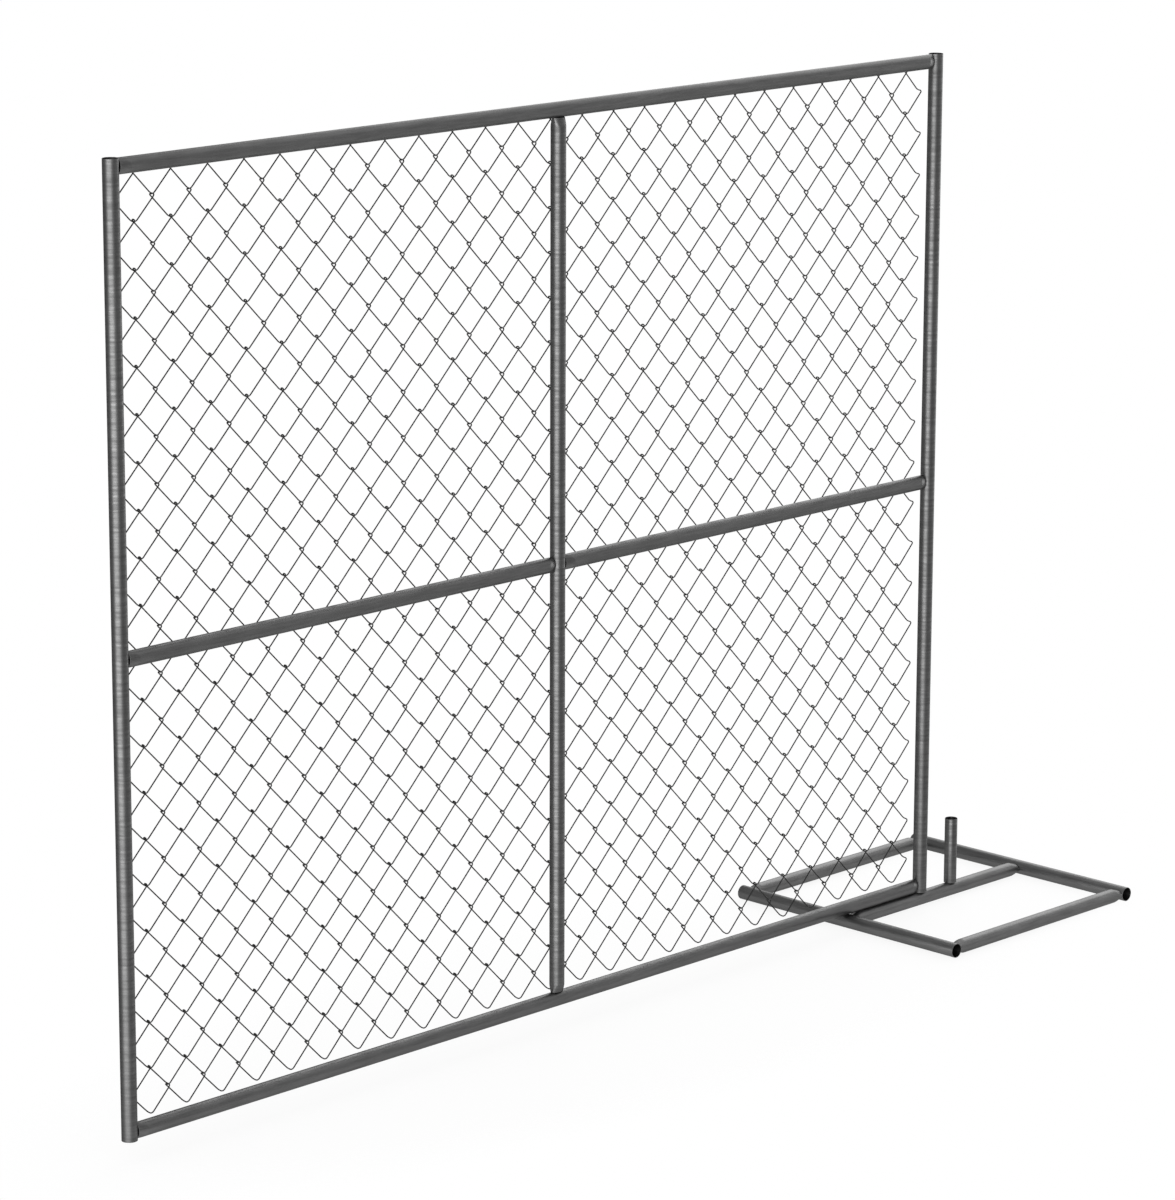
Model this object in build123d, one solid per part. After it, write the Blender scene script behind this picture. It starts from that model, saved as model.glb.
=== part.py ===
from build123d import *
import math
import os

# Construction safety barrier: a wire mesh fence panel that stands on the spigot of a tubular stand.
# Millimetres. +X runs along the fence towards the stand, +Y to the rear and +Z up.
# The origin is on the floor, under the middle of the whole barrier.

# Tube, the same size all over the barrier
TUBE_OD = 40.0
TUBE_WALL = 1.5
CRIMP_LENGTH = 25.0  # length over which a tube's end is pinched to an oval
CRIMP_PINCH = 15.0  # how much thinner than the tube the oval is at the cut
JAW_EXTRA_RADIUS = 7.0  # how much flatter than the tube the oval's broad sides are
WELD_GAP = 0.2  # from a cut end to the tube that it is welded to

# Fence panel
PANEL_WIDTH = 3000.0
PANEL_HEIGHT = 2400.0
MID_RAIL_HEIGHT = 1200.0  # from the panel's foot to the mid rail's axis
TOP_RAIL_DROP = 0.5  # from the post tops down to the top rail

# Wire mesh
WIRE_DIAMETER = 3.15
WIRE_SIDES = 3  # flat sides that stand in for the round wire
MESH_PITCH = 115.7  # from one diamond link to the next, both ways
LINK_DEPTH = 16.0  # between the front and the rear layer of runs
LINK_PLAY = 0.75  # room between the runs of two hooked links
MESH_GAP = 0.3  # from the frame's back to the mesh

# Stand
STAND_WIDTH = 800.0  # over the two runners
STAND_DEPTH = 800.0  # length of a runner
SPIGOT_SPACING = 136.0
SPIGOT_HEIGHT = 190.0  # above the centre bar
SPIGOT_CLEARANCE = 0.5  # all round, in a post
FOOT_GAP = 0.3  # from the centre bar up to the panel's foot

# Derived tube sizes
tube_radius = TUBE_OD / 2
bore_radius = tube_radius - TUBE_WALL
spigot_radius = bore_radius - SPIGOT_CLEARANCE
reach = tube_radius + WELD_GAP  # from a tube's axis to a cut end beside it

# Derived places along the fence
post_span = PANEL_WIDTH - TUBE_OD
barrier_width = PANEL_WIDTH - tube_radius + SPIGOT_SPACING / 2 + STAND_WIDTH / 2
left_post_x = tube_radius - barrier_width / 2
right_post_x = left_post_x + post_span
centre_post_x = left_post_x + post_span / 2
free_spigot_x = right_post_x + SPIGOT_SPACING
stand_x = right_post_x + SPIGOT_SPACING / 2
inner_runner_x = stand_x - STAND_WIDTH / 2 + tube_radius
outer_runner_x = stand_x + STAND_WIDTH / 2 - tube_radius
end_bar_y = STAND_DEPTH / 2 - tube_radius

# Derived heights
stand_z = tube_radius
spigot_z = TUBE_OD + WELD_GAP
foot_z = TUBE_OD + FOOT_GAP
bottom_rail_z = foot_z + tube_radius
mid_rail_z = foot_z + MID_RAIL_HEIGHT
top_rail_z = foot_z + PANEL_HEIGHT - TOP_RAIL_DROP - tube_radius

# Directions that a tube can run in, and where the thin side of its pinched ends faces
UPRIGHT = Plane(origin=(0, 0, 0), x_dir=(1, 0, 0), z_dir=(0, 0, 1))
RAIL = Plane(origin=(0, 0, 0), x_dir=(0, 0, -1), z_dir=(1, 0, 0))
BAR = Plane(origin=(0, 0, 0), x_dir=(0, 1, 0), z_dir=(1, 0, 0))
RUNNER = Plane(origin=(0, 0, 0), x_dir=(1, 0, 0), z_dir=(0, 1, 0))


def plain_tube(start, way, length, outer, inner):
    """A straight tube that is open at both ends."""
    wall = Circle(outer) - Circle(inner)
    return Pos(*start) * way.location * extrude(wall, amount=length)


def crimped_rod(length, inset):
    """A solid rod along Z whose two ends are pressed thin along Y between two round-faced jaws."""
    radius = tube_radius - inset
    jaw_radius = radius + JAW_EXTRA_RADIUS
    slope = math.atan2(CRIMP_PINCH / 2, CRIMP_LENGTH)
    jaw_y = radius - CRIMP_PINCH / 2 - jaw_radius / math.cos(slope)
    jaw_length = 4 * (CRIMP_LENGTH + jaw_radius)  # well past the pressed end, both ways
    jaw = Pos(0, jaw_y, 0) * Rot(-math.degrees(slope), 0, 0) * Cylinder(jaw_radius, jaw_length)
    end = extrude(Circle(radius), amount=CRIMP_LENGTH) & jaw & (Rot(0, 0, 180) * jaw)
    middle = Pos(0, 0, CRIMP_LENGTH) * extrude(Circle(radius), amount=length - 2 * CRIMP_LENGTH)
    return end + middle + Pos(0, 0, length) * Rot(180, 0, 0) * end


def crimped_tube(start, way, length):
    """A tube whose two ends are pinched to meet the side of another tube."""
    tube = crimped_rod(length, 0) - crimped_rod(length, TUBE_WALL)
    return Pos(*start) * way.location * tube


def rail_between(first_x, last_x, z):
    """A crimped rail of the panel between two posts."""
    return crimped_tube((first_x + reach, 0, z), RAIL, last_x - first_x - 2 * reach)


def bar_at(y):
    """A crimped bar of the stand between the two runners."""
    length = outer_runner_x - inner_runner_x - 2 * reach
    return crimped_tube((inner_runner_x + reach, y, stand_z), BAR, length)


def runner_at(x):
    return plain_tube((x, -STAND_DEPTH / 2, stand_z), RUNNER, STAND_DEPTH, tube_radius, bore_radius)


def post_at(x):
    return plain_tube((x, 0, foot_z), UPRIGHT, PANEL_HEIGHT, tube_radius, bore_radius)


def spigot_at(x):
    return plain_tube((x, 0, spigot_z), UPRIGHT, SPIGOT_HEIGHT, spigot_radius, spigot_radius - TUBE_WALL)


def diamond_link():
    """One closed link of flat-sided wire. It steps from the front to the rear layer at its top and
    right corners, and its bottom and left corners pass through those of the next links."""
    half = MESH_PITCH / 2 + (WIRE_DIAMETER + LINK_PLAY) / math.sqrt(2)
    layer = LINK_DEPTH / 2
    start = (0, 0, half)
    corners = [
        start,
        (0, layer, half),
        (half, layer, 0),
        (half, -layer, 0),
        (0, 0, -half),
        (-half, 0, 0),
        (0, -layer, half),
    ]
    # The flat-sided section has the area of the round wire, and one of its edges points down at the top
    wire_area = math.pi * WIRE_DIAMETER ** 2 / 4
    corner_radius = math.sqrt(2 * wire_area / (WIRE_SIDES * math.sin(2 * math.pi / WIRE_SIDES)))
    across = Plane(origin=start, x_dir=(0, 0, -1), z_dir=(0, 1, 0))
    section = across * RegularPolygon(corner_radius, WIRE_SIDES)
    route = Wire.make_polygon(corners, close=True)
    return sweep(section, path=route, transition=Transition.RIGHT).solid()


def mesh_rows():
    """Rows of links from the top down, each link hooked through its four neighbours."""
    link = diamond_link()
    opening_low = bottom_rail_z + tube_radius
    opening_high = top_rail_z - tube_radius
    links_across = int((PANEL_WIDTH - 2 * TUBE_OD) / MESH_PITCH)
    links_down = int((opening_high - opening_low) / MESH_PITCH)
    first_x = centre_post_x - MESH_PITCH * (links_across - 1) / 2
    first_z = (opening_low + opening_high) / 2 + MESH_PITCH * (links_down - 1) / 2
    mesh_y = tube_radius + MESH_GAP - link.bounding_box().min.Y
    rows = {}
    for row in range(links_down):
        z = first_z - MESH_PITCH * row
        links = [Pos(first_x + MESH_PITCH * k, mesh_y, z) * link for k in range(links_across)]
        rows[f"link_row_{row + 1:02d}"] = Compound(links)
    return rows


centre_post_base = bottom_rail_z + reach

pieces = {
    "left_post": post_at(left_post_x),
    "right_post": post_at(right_post_x),
    "centre_post": crimped_tube(
        (centre_post_x, 0, centre_post_base), UPRIGHT, top_rail_z - reach - centre_post_base
    ),
    "top_rail": rail_between(left_post_x, right_post_x, top_rail_z),
    "bottom_rail": rail_between(left_post_x, right_post_x, bottom_rail_z),
    "mid_rail_left": rail_between(left_post_x, centre_post_x, mid_rail_z),
    "mid_rail_right": rail_between(centre_post_x, right_post_x, mid_rail_z),
    "inner_runner": runner_at(inner_runner_x),
    "outer_runner": runner_at(outer_runner_x),
    "rear_bar": bar_at(end_bar_y),
    "centre_bar": bar_at(0),
    "front_bar": bar_at(-end_bar_y),
    "panel_spigot": spigot_at(right_post_x),
    "free_spigot": spigot_at(free_spigot_x),
}
pieces.update(mesh_rows())

os.makedirs("parts", exist_ok=True)
for name, piece in pieces.items():
    piece.label = name
    export_step(piece, f"parts/{name}.step")
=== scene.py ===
import math

import bpy
from mathutils import Euler, Matrix, Vector


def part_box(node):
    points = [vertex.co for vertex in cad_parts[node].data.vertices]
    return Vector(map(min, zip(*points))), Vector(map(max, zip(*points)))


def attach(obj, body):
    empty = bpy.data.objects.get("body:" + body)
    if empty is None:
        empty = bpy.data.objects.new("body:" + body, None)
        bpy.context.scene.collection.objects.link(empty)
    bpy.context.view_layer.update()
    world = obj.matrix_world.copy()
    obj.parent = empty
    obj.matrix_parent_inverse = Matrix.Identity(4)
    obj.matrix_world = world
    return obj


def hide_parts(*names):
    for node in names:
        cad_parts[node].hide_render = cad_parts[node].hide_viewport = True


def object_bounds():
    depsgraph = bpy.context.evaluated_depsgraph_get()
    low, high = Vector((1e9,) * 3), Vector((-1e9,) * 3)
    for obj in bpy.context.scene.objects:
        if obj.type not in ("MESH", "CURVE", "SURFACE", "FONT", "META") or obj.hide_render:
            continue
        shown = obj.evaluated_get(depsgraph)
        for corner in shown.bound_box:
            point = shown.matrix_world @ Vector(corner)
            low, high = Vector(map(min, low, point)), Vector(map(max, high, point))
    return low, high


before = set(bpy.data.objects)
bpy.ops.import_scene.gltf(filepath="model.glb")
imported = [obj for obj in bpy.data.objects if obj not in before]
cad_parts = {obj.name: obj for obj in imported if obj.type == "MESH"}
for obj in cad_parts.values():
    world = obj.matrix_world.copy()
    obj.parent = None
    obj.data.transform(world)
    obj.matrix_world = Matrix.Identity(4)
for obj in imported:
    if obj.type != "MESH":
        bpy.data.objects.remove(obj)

# Construction safety barrier: dark steel tubes and hooked wire links, in a white studio.
# Metres, in the frame's axes: +X along the fence towards the stand, +Y to the rear and +Z up.

cad_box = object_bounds()
cad_low, cad_high = (Vector(corner) for corner in cad_box)

# Tubes
TUBE_WALL = 0.0015
TUBE_SEGMENTS = 64  # round a tube
RIM_ROUND = 0.0003  # rounding of a cut edge
RIM_STEPS = 2  # flats in that rounding
CRIMP_LENGTH = 0.025  # length over which a tube's end is pinched to an oval
CRIMP_PINCH = 0.015  # how much thinner than the tube the oval is at the cut
CRIMP_FADE = 0.004  # length past the pinched end over which its crease is rounded off
CRIMP_STEPS = 14  # rings along a pinched end
JAW_EXTRA_RADIUS = 0.007  # how much flatter than the tube the oval's broad sides are
CREASE_ROUND = 0.0008  # rounding where the pinched end leaves the round tube
SHARP_ANGLE = math.radians(30)  # edges that turn more than this aren't shaded smooth

# Wire links
WIRE_DIAMETER = 0.00315
WIRE_SIDES = 7  # an odd number looks about as wide from all round
MESH_PITCH = 0.1157  # from one diamond link to the next, both ways
LINK_DEPTH = 0.016  # between the front and the rear layer of runs
LINK_PLAY = 0.00075  # room between the runs of two hooked links
BEND_RADIUS = 0.0075  # of the wire's axis at each bend
BEND_STEPS = 5  # straight pieces in each bend
MESH_GAP = 0.0003  # from the frame's back to the mesh

# Steel
STEEL_GREY = 0.125
BAR_GREY = 0.148  # of the stand's bars, which are a little lighter
EDGE_SHINE = 0.5  # tint of the shine at grazing angles, where clean metal has 1
SHINE_TURN = 0.25  # of a turn, from round the tube to along it
RING_GRAIN = (12, 12, 150)  # noise cells in a metre, across and along a tube with rings round it
STREAK_GRAIN = (160, 160, 14)  # the same for a tube with streaks along it
GRAIN_DETAIL = 5  # octaves of finer noise in the grain
PATCH_SCALE = (25, 25, 9)  # patches in a metre, across and along a tube
PATCH_CONTRAST = 0.08  # how much lighter and darker than the steel the patches are
PATCH_DETAIL = 3
SHADE_DETAIL = 3  # in the surfaces without rings or streaks
NOISE_LOW = 0.3  # the middle range of a noise value
NOISE_HIGH = 0.7

# Camera, at the photograph's place
CAMERA_PLACE = (-8.8192, -8.4487, 3.9764)
CAMERA_TURN = (76.7713, -0.1838, -45.8187)  # degrees about X, Y and Z
CAMERA_LENS = 143.17  # millimetres, for a 36 mm sensor

# Studio
WORLD_LIGHT = 0.7  # of the white surround, on what isn't seen or mirrored
FLOOR_COLOUR = 0.92
FLOOR_GLOW = 0.88  # share of the floor's white that takes no shadow
FLOOR_HALF = (2.2, 0.75)  # half length and half depth, where the floor has faded out
FLOOR_FADE = 0.75  # share of that, where the fade starts
CURTAIN_AWAY = 14.0  # from the barrier's middle to a grey curtain
CURTAIN_LOW = -9.0  # lower edge, below the floor, because the metal also shows what is past the floor
CURTAIN_STEPS = 12  # flat strips in a curtain
CURTAIN_MOTTLE = 0.02  # how much lighter and darker than its grey a curtain is in places

X_AXIS = Vector((1, 0, 0))
Y_AXIS = Vector((0, 1, 0))
Z_AXIS = Vector((0, 0, 1))


# Materials

def add_node(tree, kind, **values):
    """A shader node with some of its inputs set by name."""
    node = tree.nodes.new(kind)
    for name, value in values.items():
        node.inputs[name.replace("_", " ")].default_value = value
    return node


def combined(tree, operation, first, second):
    """Two values put together by a sum or the like."""
    node = add_node(tree, "ShaderNodeMath")
    node.operation = operation
    tree.links.new(first, node.inputs[0])
    tree.links.new(second, node.inputs[1])
    return node.outputs["Value"]


def grey(level):
    """A colour with the same red, green and blue."""
    return (level, level, level, 1)


def new_material(name):
    """A material with node access: the material, its tree and its shader."""
    material = bpy.data.materials.new(name)
    material.use_nodes = True
    tree = material.node_tree
    return material, tree, tree.nodes["Principled BSDF"]


def stretched_noise(tree, scale, detail):
    """Noise in the piece's own coordinates, stretched by a scale for each axis."""
    place = add_node(tree, "ShaderNodeTexCoord")
    mapping = add_node(tree, "ShaderNodeMapping", Scale=scale)
    noise = add_node(tree, "ShaderNodeTexNoise", Scale=1, Detail=detail)
    tree.links.new(place.outputs["Object"], mapping.inputs["Vector"])
    tree.links.new(mapping.outputs["Vector"], noise.inputs["Vector"])
    return noise.outputs["Fac"]


def spread(tree, value, low, high):
    """A noise value brought from its middle range to low..high, which as a colour is a grey."""
    ramp = add_node(
        tree, "ShaderNodeMapRange",
        From_Min=NOISE_LOW, From_Max=NOISE_HIGH, To_Min=low, To_Max=high,
    )
    tree.links.new(value, ramp.inputs["Value"])
    return ramp.outputs["Result"]


def tube_steel(name, level, grain, contrast, ridge, dark_rough, light_rough, along):
    """Dark steel whose grain runs round or along the tube.

    The grain is lighter and darker than level by a share, contrast, and stands up by ridge. Its dark and
    light bands have their own roughness, and along says how far the shine is drawn out along the tube."""
    material, tree, shader = new_material(name)
    bands = stretched_noise(tree, grain, GRAIN_DETAIL)
    patches = stretched_noise(tree, PATCH_SCALE, PATCH_DETAIL)
    patchy = level * PATCH_CONTRAST
    colour = combined(
        tree, "ADD",
        spread(tree, bands, level * (1 - contrast), level * (1 + contrast)),
        spread(tree, patches, -patchy, patchy),
    )
    tree.links.new(colour, shader.inputs["Base Color"])
    tree.links.new(spread(tree, bands, dark_rough, light_rough), shader.inputs["Roughness"])
    shader.inputs["Metallic"].default_value = 1.0
    shader.inputs["Specular Tint"].default_value = grey(EDGE_SHINE)
    shader.inputs["Anisotropic"].default_value = along
    shader.inputs["Anisotropic Rotation"].default_value = SHINE_TURN
    round_tube = add_node(tree, "ShaderNodeTangent")
    round_tube.direction_type = "RADIAL"
    round_tube.axis = "Z"
    tree.links.new(round_tube.outputs["Tangent"], shader.inputs["Tangent"])
    bump = add_node(tree, "ShaderNodeBump", Strength=1, Distance=ridge)
    tree.links.new(bands, bump.inputs["Height"])
    tree.links.new(bump.outputs["Normal"], shader.inputs["Normal"])
    return material


def plain_surface(name, dark, light, scale, roughness, metallic):
    """A surface between a dark and a light grey, without rings or streaks."""
    material, tree, shader = new_material(name)
    shade = stretched_noise(tree, (scale, scale, scale), SHADE_DETAIL)
    tree.links.new(spread(tree, shade, dark, light), shader.inputs["Base Color"])
    shader.inputs["Roughness"].default_value = roughness
    shader.inputs["Metallic"].default_value = metallic
    shader.inputs["Specular IOR Level"].default_value = 0.0
    shader.inputs["Specular Tint"].default_value = grey(EDGE_SHINE)
    return material


POST_STEEL = tube_steel(
    "post_steel", STEEL_GREY, RING_GRAIN,
    contrast=0.16, ridge=0.0003, dark_rough=0.61, light_rough=0.45, along=0.7,
)
RAIL_STEEL = tube_steel(
    "rail_steel", STEEL_GREY, STREAK_GRAIN,
    contrast=0.12, ridge=0.00004, dark_rough=0.36, light_rough=0.46, along=0.0,
)
BAR_STEEL = tube_steel(
    "bar_steel", BAR_GREY, STREAK_GRAIN,
    contrast=0.12, ridge=0.00004, dark_rough=0.40, light_rough=0.50, along=0.0,
)
# The tubes' inner walls: steel with painted shade, far darker than the outside steel, so that the
# openings look deep and black
SHADED_BORE_STEEL = plain_surface("shaded_bore_steel", dark=0.015, light=0.030, scale=90, roughness=0.5, metallic=1.0)
WIRE_STEEL = plain_surface("wire_steel", dark=0.04, light=0.055, scale=300, roughness=0.4, metallic=1.0)


# Tubes

def smooth_least(first, second, width):
    """The lesser of two values, rounded over where they are nearly the same."""
    share = max(width - abs(first - second), 0) / width
    return min(first, second) - share * share * width / 4


def section_radius(angle, from_cut, radius, crimped):
    """How far the tube's surface is from its axis, at an angle and a distance from the cut."""
    if not crimped:
        return radius
    # Each round-faced jaw slopes, so it meets the tube's section in an ellipse
    jaw_radius = radius + JAW_EXTRA_RADIUS
    slope = math.atan2(CRIMP_PINCH / 2, CRIMP_LENGTH)
    high = jaw_radius / math.cos(slope)
    centre = radius - CRIMP_PINCH / 2 + from_cut * math.tan(slope) - high
    up = abs(math.sin(angle))
    square = (math.cos(angle) / jaw_radius) ** 2 + (up / high) ** 2
    middle = up * centre / high ** 2
    rest = (centre / high) ** 2 - 1
    jaw = (middle + math.sqrt(middle ** 2 - square * rest)) / square
    return smooth_least(radius, jaw, CREASE_ROUND)


def wall_stations(length, crimped):
    """Places along a tube from one cut to the other, as (distance from the first cut, rim inset)."""
    end = []
    for step in range(RIM_STEPS + 1):
        turn = math.pi / 2 * step / RIM_STEPS
        end.append((RIM_ROUND * (1 - math.cos(turn)), RIM_ROUND * (1 - math.sin(turn))))
    if crimped:
        rest = CRIMP_LENGTH + CRIMP_FADE - RIM_ROUND
        end += [(RIM_ROUND + rest * (k + 1) / CRIMP_STEPS, 0) for k in range(CRIMP_STEPS)]
    return end + [(length - along, inset) for along, inset in reversed(end)]


def tube_mesh(name, length, outer, material, crimped):
    """An open tube along its own Z, from 0 to length. A pinched end is thin along its own Y."""
    stations = wall_stations(length, crimped)
    rings = [(along, outer, -inset) for along, inset in stations]
    rings += [(along, outer - TUBE_WALL, inset) for along, inset in reversed(stations)]
    angles = [2 * math.pi * k / TUBE_SEGMENTS for k in range(TUBE_SEGMENTS)]
    points = []
    for along, radius, shift in rings:
        from_cut = min(along, length - along)
        for angle in angles:
            reach = section_radius(angle, from_cut, radius, crimped) + shift
            points.append((reach * math.cos(angle), reach * math.sin(angle), along))
    faces = []
    for ring in range(len(rings)):
        here = ring * TUBE_SEGMENTS
        there = (ring + 1) % len(rings) * TUBE_SEGMENTS
        for k in range(TUBE_SEGMENTS):
            after = (k + 1) % TUBE_SEGMENTS
            faces.append((here + k, here + after, there + after, there + k))
    mesh = bpy.data.meshes.new(name)
    mesh.from_pydata(points, [], faces)
    mesh.materials.append(material)
    # The second material is for the inner wall, which is darkened with painted shade
    mesh.materials.append(SHADED_BORE_STEEL)
    inside = len(stations)
    for index, face in enumerate(mesh.polygons):
        face.use_smooth = True
        face.material_index = int(inside <= index // TUBE_SEGMENTS < len(rings) - 1)
    mesh.set_sharp_from_angle(angle=SHARP_ANGLE)
    return mesh


def within(value, low, high):
    """The value, or the nearer limit where it is past one."""
    return min(max(value, low), high)


def tube_piece(node, body, axis, thin, material, crimped):
    """A detailed tube in the place of a CAD tube that runs along axis, inside the CAD model's box."""
    low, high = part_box(node)
    size = high - low
    length = size.dot(axis)
    outer = max(abs(size.dot(thin)), abs(size.dot(thin.cross(axis)))) / 2
    half = axis * (length / 2) + (Vector((1, 1, 1)) - axis) * outer
    centre = (low + high) / 2
    centre = Vector([within(centre[k], cad_low[k] + half[k], cad_high[k] - half[k]) for k in range(3)])
    mesh = tube_mesh(node + "_mesh", length, outer, material, crimped)
    piece = bpy.data.objects.new(node + "_tube", mesh)
    bpy.context.collection.objects.link(piece)
    turn = Matrix((thin.cross(axis), thin, axis)).transposed().to_4x4()
    piece.matrix_world = Matrix.Translation(centre - axis * (length / 2)) @ turn
    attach(piece, body)
    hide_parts(node)


for post in ("left_post", "right_post"):
    tube_piece(post, "panel", Z_AXIS, Y_AXIS, POST_STEEL, crimped=False)
tube_piece("centre_post", "panel", Z_AXIS, Y_AXIS, POST_STEEL, crimped=True)
for rail in ("top_rail", "bottom_rail", "mid_rail_left", "mid_rail_right"):
    tube_piece(rail, "panel", X_AXIS, Y_AXIS, RAIL_STEEL, crimped=True)
for bar in ("front_bar", "centre_bar", "rear_bar"):
    tube_piece(bar, "stand", X_AXIS, Z_AXIS, BAR_STEEL, crimped=True)
for runner in ("inner_runner", "outer_runner"):
    tube_piece(runner, "stand", Y_AXIS, Z_AXIS, RAIL_STEEL, crimped=False)
for spigot in ("panel_spigot", "free_spigot"):
    tube_piece(spigot, "stand", Z_AXIS, Y_AXIS, POST_STEEL, crimped=False)


# Wire links

def bend(before, corner, after):
    """Points of the round bend at a corner of the wire's route."""
    back = (before - corner).normalized()
    ahead = (after - corner).normalized()
    half_turn = (math.pi - back.angle(ahead)) / 2
    start = corner + back * BEND_RADIUS * math.tan(half_turn)
    centre = corner + (back + ahead).normalized() * BEND_RADIUS / math.cos(half_turn)
    arm = start - centre
    points = []
    for step in range(BEND_STEPS + 1):
        turn = 2 * half_turn * step / BEND_STEPS
        points.append(centre + arm * math.cos(turn) - back * BEND_RADIUS * math.sin(turn))
    return points


def link_route():
    """The closed route of one link's wire. Its runs lie in the front and rear layers in turn, and at
    each corner the wire steps through from one layer to the other."""
    half = MESH_PITCH / 2 + (WIRE_DIAMETER + LINK_PLAY) / math.sqrt(2)
    top = Z_AXIS * half
    right = X_AXIS * half
    rear = Y_AXIS * (LINK_DEPTH / 2)
    corners = [top - rear, top + rear, right + rear, right - rear]
    corners += [-top - rear, -top + rear, -right + rear, -right - rear]
    route = []
    for k, corner in enumerate(corners):
        route += bend(corners[k - 1], corner, corners[(k + 1) % len(corners)])
    return route


def wire_rings(route):
    """Rings of wire surface points along a closed route, untwisted so that the last meets the first."""
    count = len(route)
    ways = [(route[(k + 1) % count] - route[k - 1]).normalized() for k in range(count)]
    side = ways[0].orthogonal().normalized()
    first = side
    sides = []
    for way in ways + ways[:1]:
        side = (side - way * side.dot(way)).normalized()
        sides.append(side)
    left_over = math.atan2(first.cross(sides[-1]).dot(ways[0]), first.dot(sides[-1]))
    # The flat sides touch the round wire
    corner_radius = WIRE_DIAMETER / 2 / math.cos(math.pi / WIRE_SIDES)
    rings = []
    for k in range(count):
        untwist = left_over * k / count
        other = ways[k].cross(sides[k])
        ring = []
        for number in range(WIRE_SIDES):
            angle = 2 * math.pi * number / WIRE_SIDES - untwist
            outward = sides[k] * math.cos(angle) + other * math.sin(angle)
            ring.append(route[k] + outward * corner_radius)
        rings.append(ring)
    return rings


def link_row_mesh(name, rings, centres):
    """A row of links, one round each centre."""
    points = []
    faces = []
    for centre in centres:
        base = len(points)
        for ring in rings:
            points += [centre + point for point in ring]
        for k in range(len(rings)):
            here = base + k * WIRE_SIDES
            there = base + (k + 1) % len(rings) * WIRE_SIDES
            for number in range(WIRE_SIDES):
                after = (number + 1) % WIRE_SIDES
                faces.append((here + number, here + after, there + after, there + number))
    mesh = bpy.data.meshes.new(name)
    mesh.from_pydata(points, [], faces)
    mesh.materials.append(WIRE_STEEL)
    mesh.shade_smooth()
    return mesh


def hang_mesh():
    """All the rows of links behind the frame, each in the place of its CAD row."""
    rows = sorted(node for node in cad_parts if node.startswith("link_row_"))
    opening_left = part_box("left_post")[1].x
    opening_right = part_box("right_post")[0].x
    opening_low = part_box("bottom_rail")[1].z
    opening_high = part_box("top_rail")[0].z
    across = int((opening_right - opening_left) / MESH_PITCH)
    first_x = (opening_left + opening_right) / 2 - MESH_PITCH * (across - 1) / 2
    first_z = (opening_low + opening_high) / 2 + MESH_PITCH * (len(rows) - 1) / 2
    mesh_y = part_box("left_post")[1].y + MESH_GAP + WIRE_DIAMETER / 2 + LINK_DEPTH / 2
    rings = wire_rings(link_route())
    for number, node in enumerate(rows):
        height = first_z - MESH_PITCH * number
        centres = [Vector((first_x + MESH_PITCH * k, mesh_y, height)) for k in range(across)]
        piece = bpy.data.objects.new(node + "_wire", link_row_mesh(node + "_mesh", rings, centres))
        bpy.context.collection.objects.link(piece)
        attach(piece, "panel")
        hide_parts(node)


hang_mesh()


# Studio

def seen_or_mirrored(tree):
    """1 for what the camera sees, straight or in metal or glass, and 0 for the light on other things."""
    path = add_node(tree, "ShaderNodeLightPath")
    value = path.outputs["Is Camera Ray"]
    for name in ("Is Glossy Ray", "Is Transmission Ray"):
        value = combined(tree, "MAXIMUM", value, path.outputs[name])
    return value


def white_world():
    """A white surround that the camera and the metal both see, and that lights the rest more softly."""
    world = bpy.data.worlds.new("studio")
    bpy.context.scene.world = world
    world.use_nodes = True
    tree = world.node_tree
    tree.nodes.clear()
    strength = add_node(tree, "ShaderNodeMapRange", To_Min=WORLD_LIGHT, To_Max=1)
    tree.links.new(seen_or_mirrored(tree), strength.inputs["Value"])
    light = add_node(tree, "ShaderNodeBackground", Color=grey(1))
    tree.links.new(strength.outputs["Result"], light.inputs["Strength"])
    output = add_node(tree, "ShaderNodeOutputWorld")
    tree.links.new(light.outputs["Background"], output.inputs["Surface"])


def stage_piece(name, points, faces, material):
    """An object of the studio, not of the barrier."""
    mesh = bpy.data.meshes.new(name + "_mesh")
    mesh.from_pydata(points, [], faces)
    mesh.materials.append(material)
    piece = bpy.data.objects.new(name, mesh)
    bpy.context.collection.objects.link(piece)
    return piece


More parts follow.
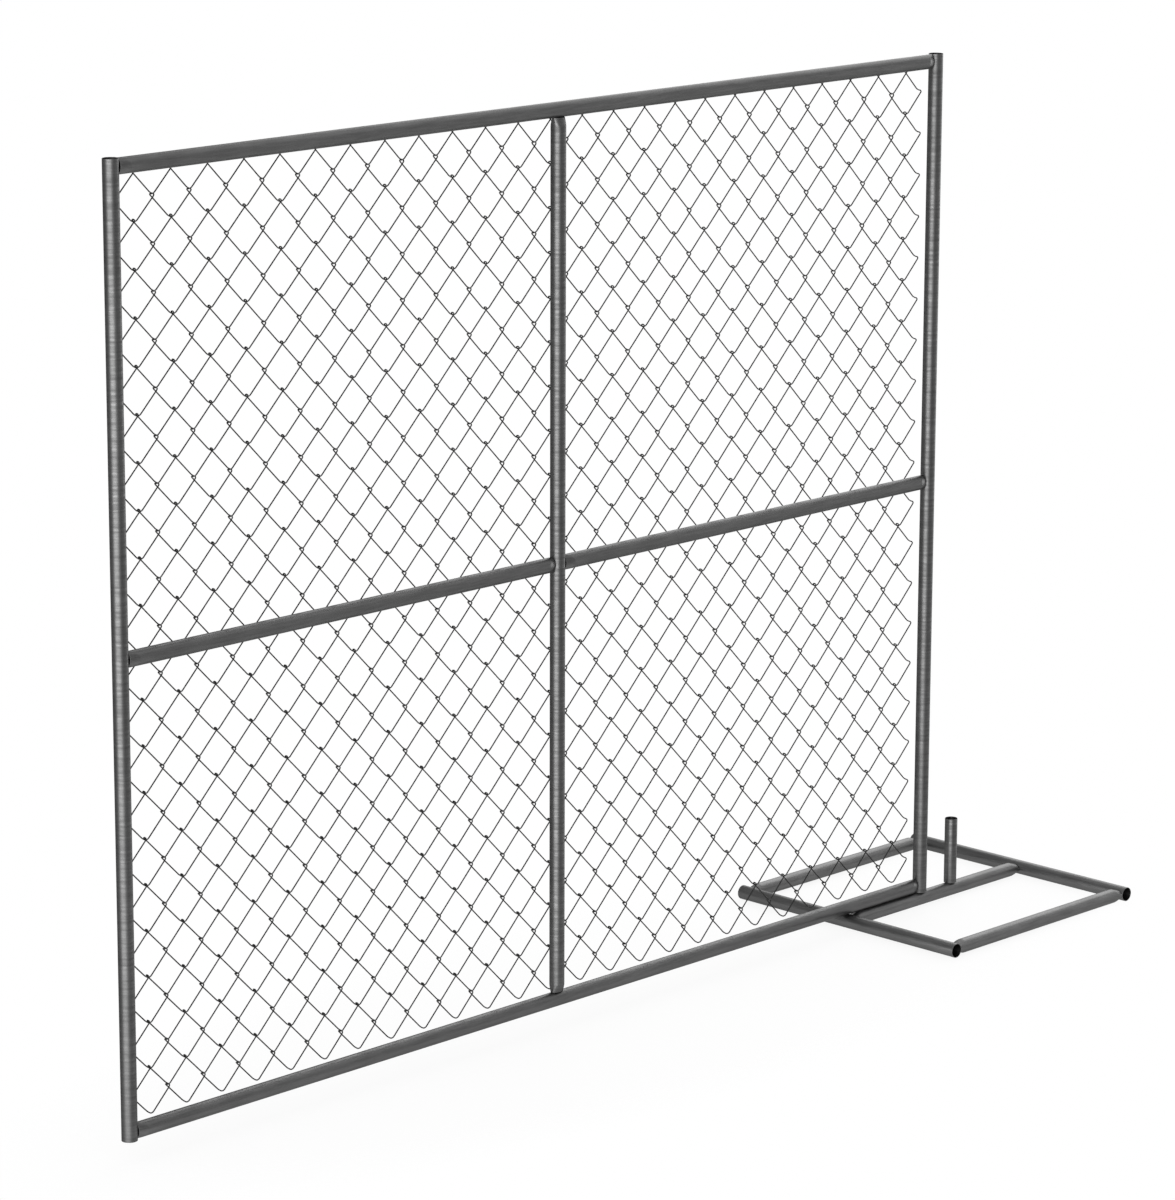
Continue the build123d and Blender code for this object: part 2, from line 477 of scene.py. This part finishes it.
def floor_white():
    """White floor that keeps a soft shadow and fades out into the white surround."""
    material, tree, shader = new_material("floor_white")
    shader.inputs["Base Color"].default_value = grey(FLOOR_COLOUR)
    shader.inputs["Roughness"].default_value = 1.0
    shader.inputs["Specular IOR Level"].default_value = 0.0
    glow = add_node(tree, "ShaderNodeEmission", Color=grey(1), Strength=1)
    share = add_node(tree, "ShaderNodeMapRange", To_Max=FLOOR_GLOW)
    tree.links.new(seen_or_mirrored(tree), share.inputs["Value"])
    lit = add_node(tree, "ShaderNodeMixShader")
    tree.links.new(share.outputs["Result"], lit.inputs["Fac"])
    tree.links.new(shader.outputs["BSDF"], lit.inputs[1])
    tree.links.new(glow.outputs["Emission"], lit.inputs[2])
    place = add_node(tree, "ShaderNodeTexCoord")
    squeeze = add_node(tree, "ShaderNodeMapping", Scale=(1 / FLOOR_HALF[0], 1 / FLOOR_HALF[1], 1))
    away = add_node(tree, "ShaderNodeVectorMath")
    away.operation = "LENGTH"
    tree.links.new(place.outputs["Object"], squeeze.inputs["Vector"])
    tree.links.new(squeeze.outputs["Vector"], away.inputs[0])
    fade = add_node(tree, "ShaderNodeMapRange", From_Min=FLOOR_FADE)
    tree.links.new(away.outputs["Value"], fade.inputs["Value"])
    clear = add_node(tree, "ShaderNodeBsdfTransparent")
    faded = add_node(tree, "ShaderNodeMixShader")
    tree.links.new(fade.outputs["Result"], faded.inputs["Fac"])
    tree.links.new(lit.outputs["Shader"], faded.inputs[1])
    tree.links.new(clear.outputs["BSDF"], faded.inputs[2])
    tree.links.new(faded.outputs["Shader"], tree.nodes["Material Output"].inputs["Surface"])
    return material


def floor():
    """The floor under the barrier."""
    half_x, half_y = FLOOR_HALF
    corners = [(-half_x, -half_y, 0), (half_x, -half_y, 0), (half_x, half_y, 0), (-half_x, half_y, 0)]
    stage_piece("floor", corners, [(0, 1, 2, 3)], floor_white())


def curtain_cloth(name, level):
    """The matt cloth of a grey curtain."""
    dark = level - CURTAIN_MOTTLE
    light = level + CURTAIN_MOTTLE
    return plain_surface(name, dark, light, scale=1, roughness=0.9, metallic=0.0)


def grey_curtain(name, first_degrees, last_degrees, top, cloth):
    """A grey curtain round part of the studio, which only the metal shows, in its darker sides."""
    points = []
    for step in range(CURTAIN_STEPS + 1):
        angle = math.radians(first_degrees + (last_degrees - first_degrees) * step / CURTAIN_STEPS)
        for height in (CURTAIN_LOW, top):
            points.append((CURTAIN_AWAY * math.cos(angle), CURTAIN_AWAY * math.sin(angle), height))
    faces = [(2 * k, 2 * k + 2, 2 * k + 3, 2 * k + 1) for k in range(CURTAIN_STEPS)]
    piece = stage_piece(name, points, faces, cloth)
    piece.visible_camera = False
    piece.visible_diffuse = False
    piece.visible_shadow = False


def softbox(name, place, target, width, tall, radiance):
    """A soft rectangular lamp that faces a target, out of the camera's sight."""
    data = bpy.data.lights.new(name, "AREA")
    data.shape = "RECTANGLE"
    data.size = width
    data.size_y = tall
    data.energy = radiance * math.pi * width * tall
    lamp = bpy.data.objects.new(name, data)
    lamp.location = place
    lamp.rotation_euler = (Vector(target) - Vector(place)).to_track_quat("-Z", "Y").to_euler()
    lamp.visible_camera = False
    bpy.context.collection.objects.link(lamp)


def camera():
    """The camera, where the photograph was taken from."""
    data = bpy.data.cameras.new("camera")
    data.lens = CAMERA_LENS
    eye = bpy.data.objects.new("camera", data)
    eye.location = CAMERA_PLACE
    eye.rotation_euler = Euler([math.radians(angle) for angle in CAMERA_TURN])
    bpy.context.collection.objects.link(eye)
    bpy.context.scene.camera = eye


white_world()
floor()

# The front curtains darken the right sides of the posts, and the rear one darkens their left sides
front_dark = curtain_cloth("front_dark", 0.36)
front_grey = curtain_cloth("front_grey", 0.58)
rear_grey = curtain_cloth("rear_grey", 0.44)
grey_curtain("front_left_curtain", first_degrees=250, last_degrees=296, top=14.0, cloth=front_dark)
grey_curtain("front_right_curtain", first_degrees=296, last_degrees=344, top=12.0, cloth=front_grey)
grey_curtain("rear_curtain", first_degrees=47, last_degrees=160, top=24.0, cloth=rear_grey)

# Lamps for the highlights on the posts, on the tops of the rails and bars, and on the pinched ends
softbox(
    "left_softbox", place=(-17.9, -8.4, 1.0), target=(0, 0, 1.2),
    width=22.0, tall=12.5, radiance=7.2,
)
softbox(
    "right_softbox", place=(9.5, 4.2, 6.0), target=(0.8, 0, 0.8),
    width=9.5, tall=8.0, radiance=3.2,
)
softbox(
    "end_softbox", place=(13.4, -2.2, 1.4), target=(0.2, 0, 1.2),
    width=3.4, tall=7.0, radiance=5.0,
)

camera()
bpy.context.scene.view_settings.view_transform = "Standard"
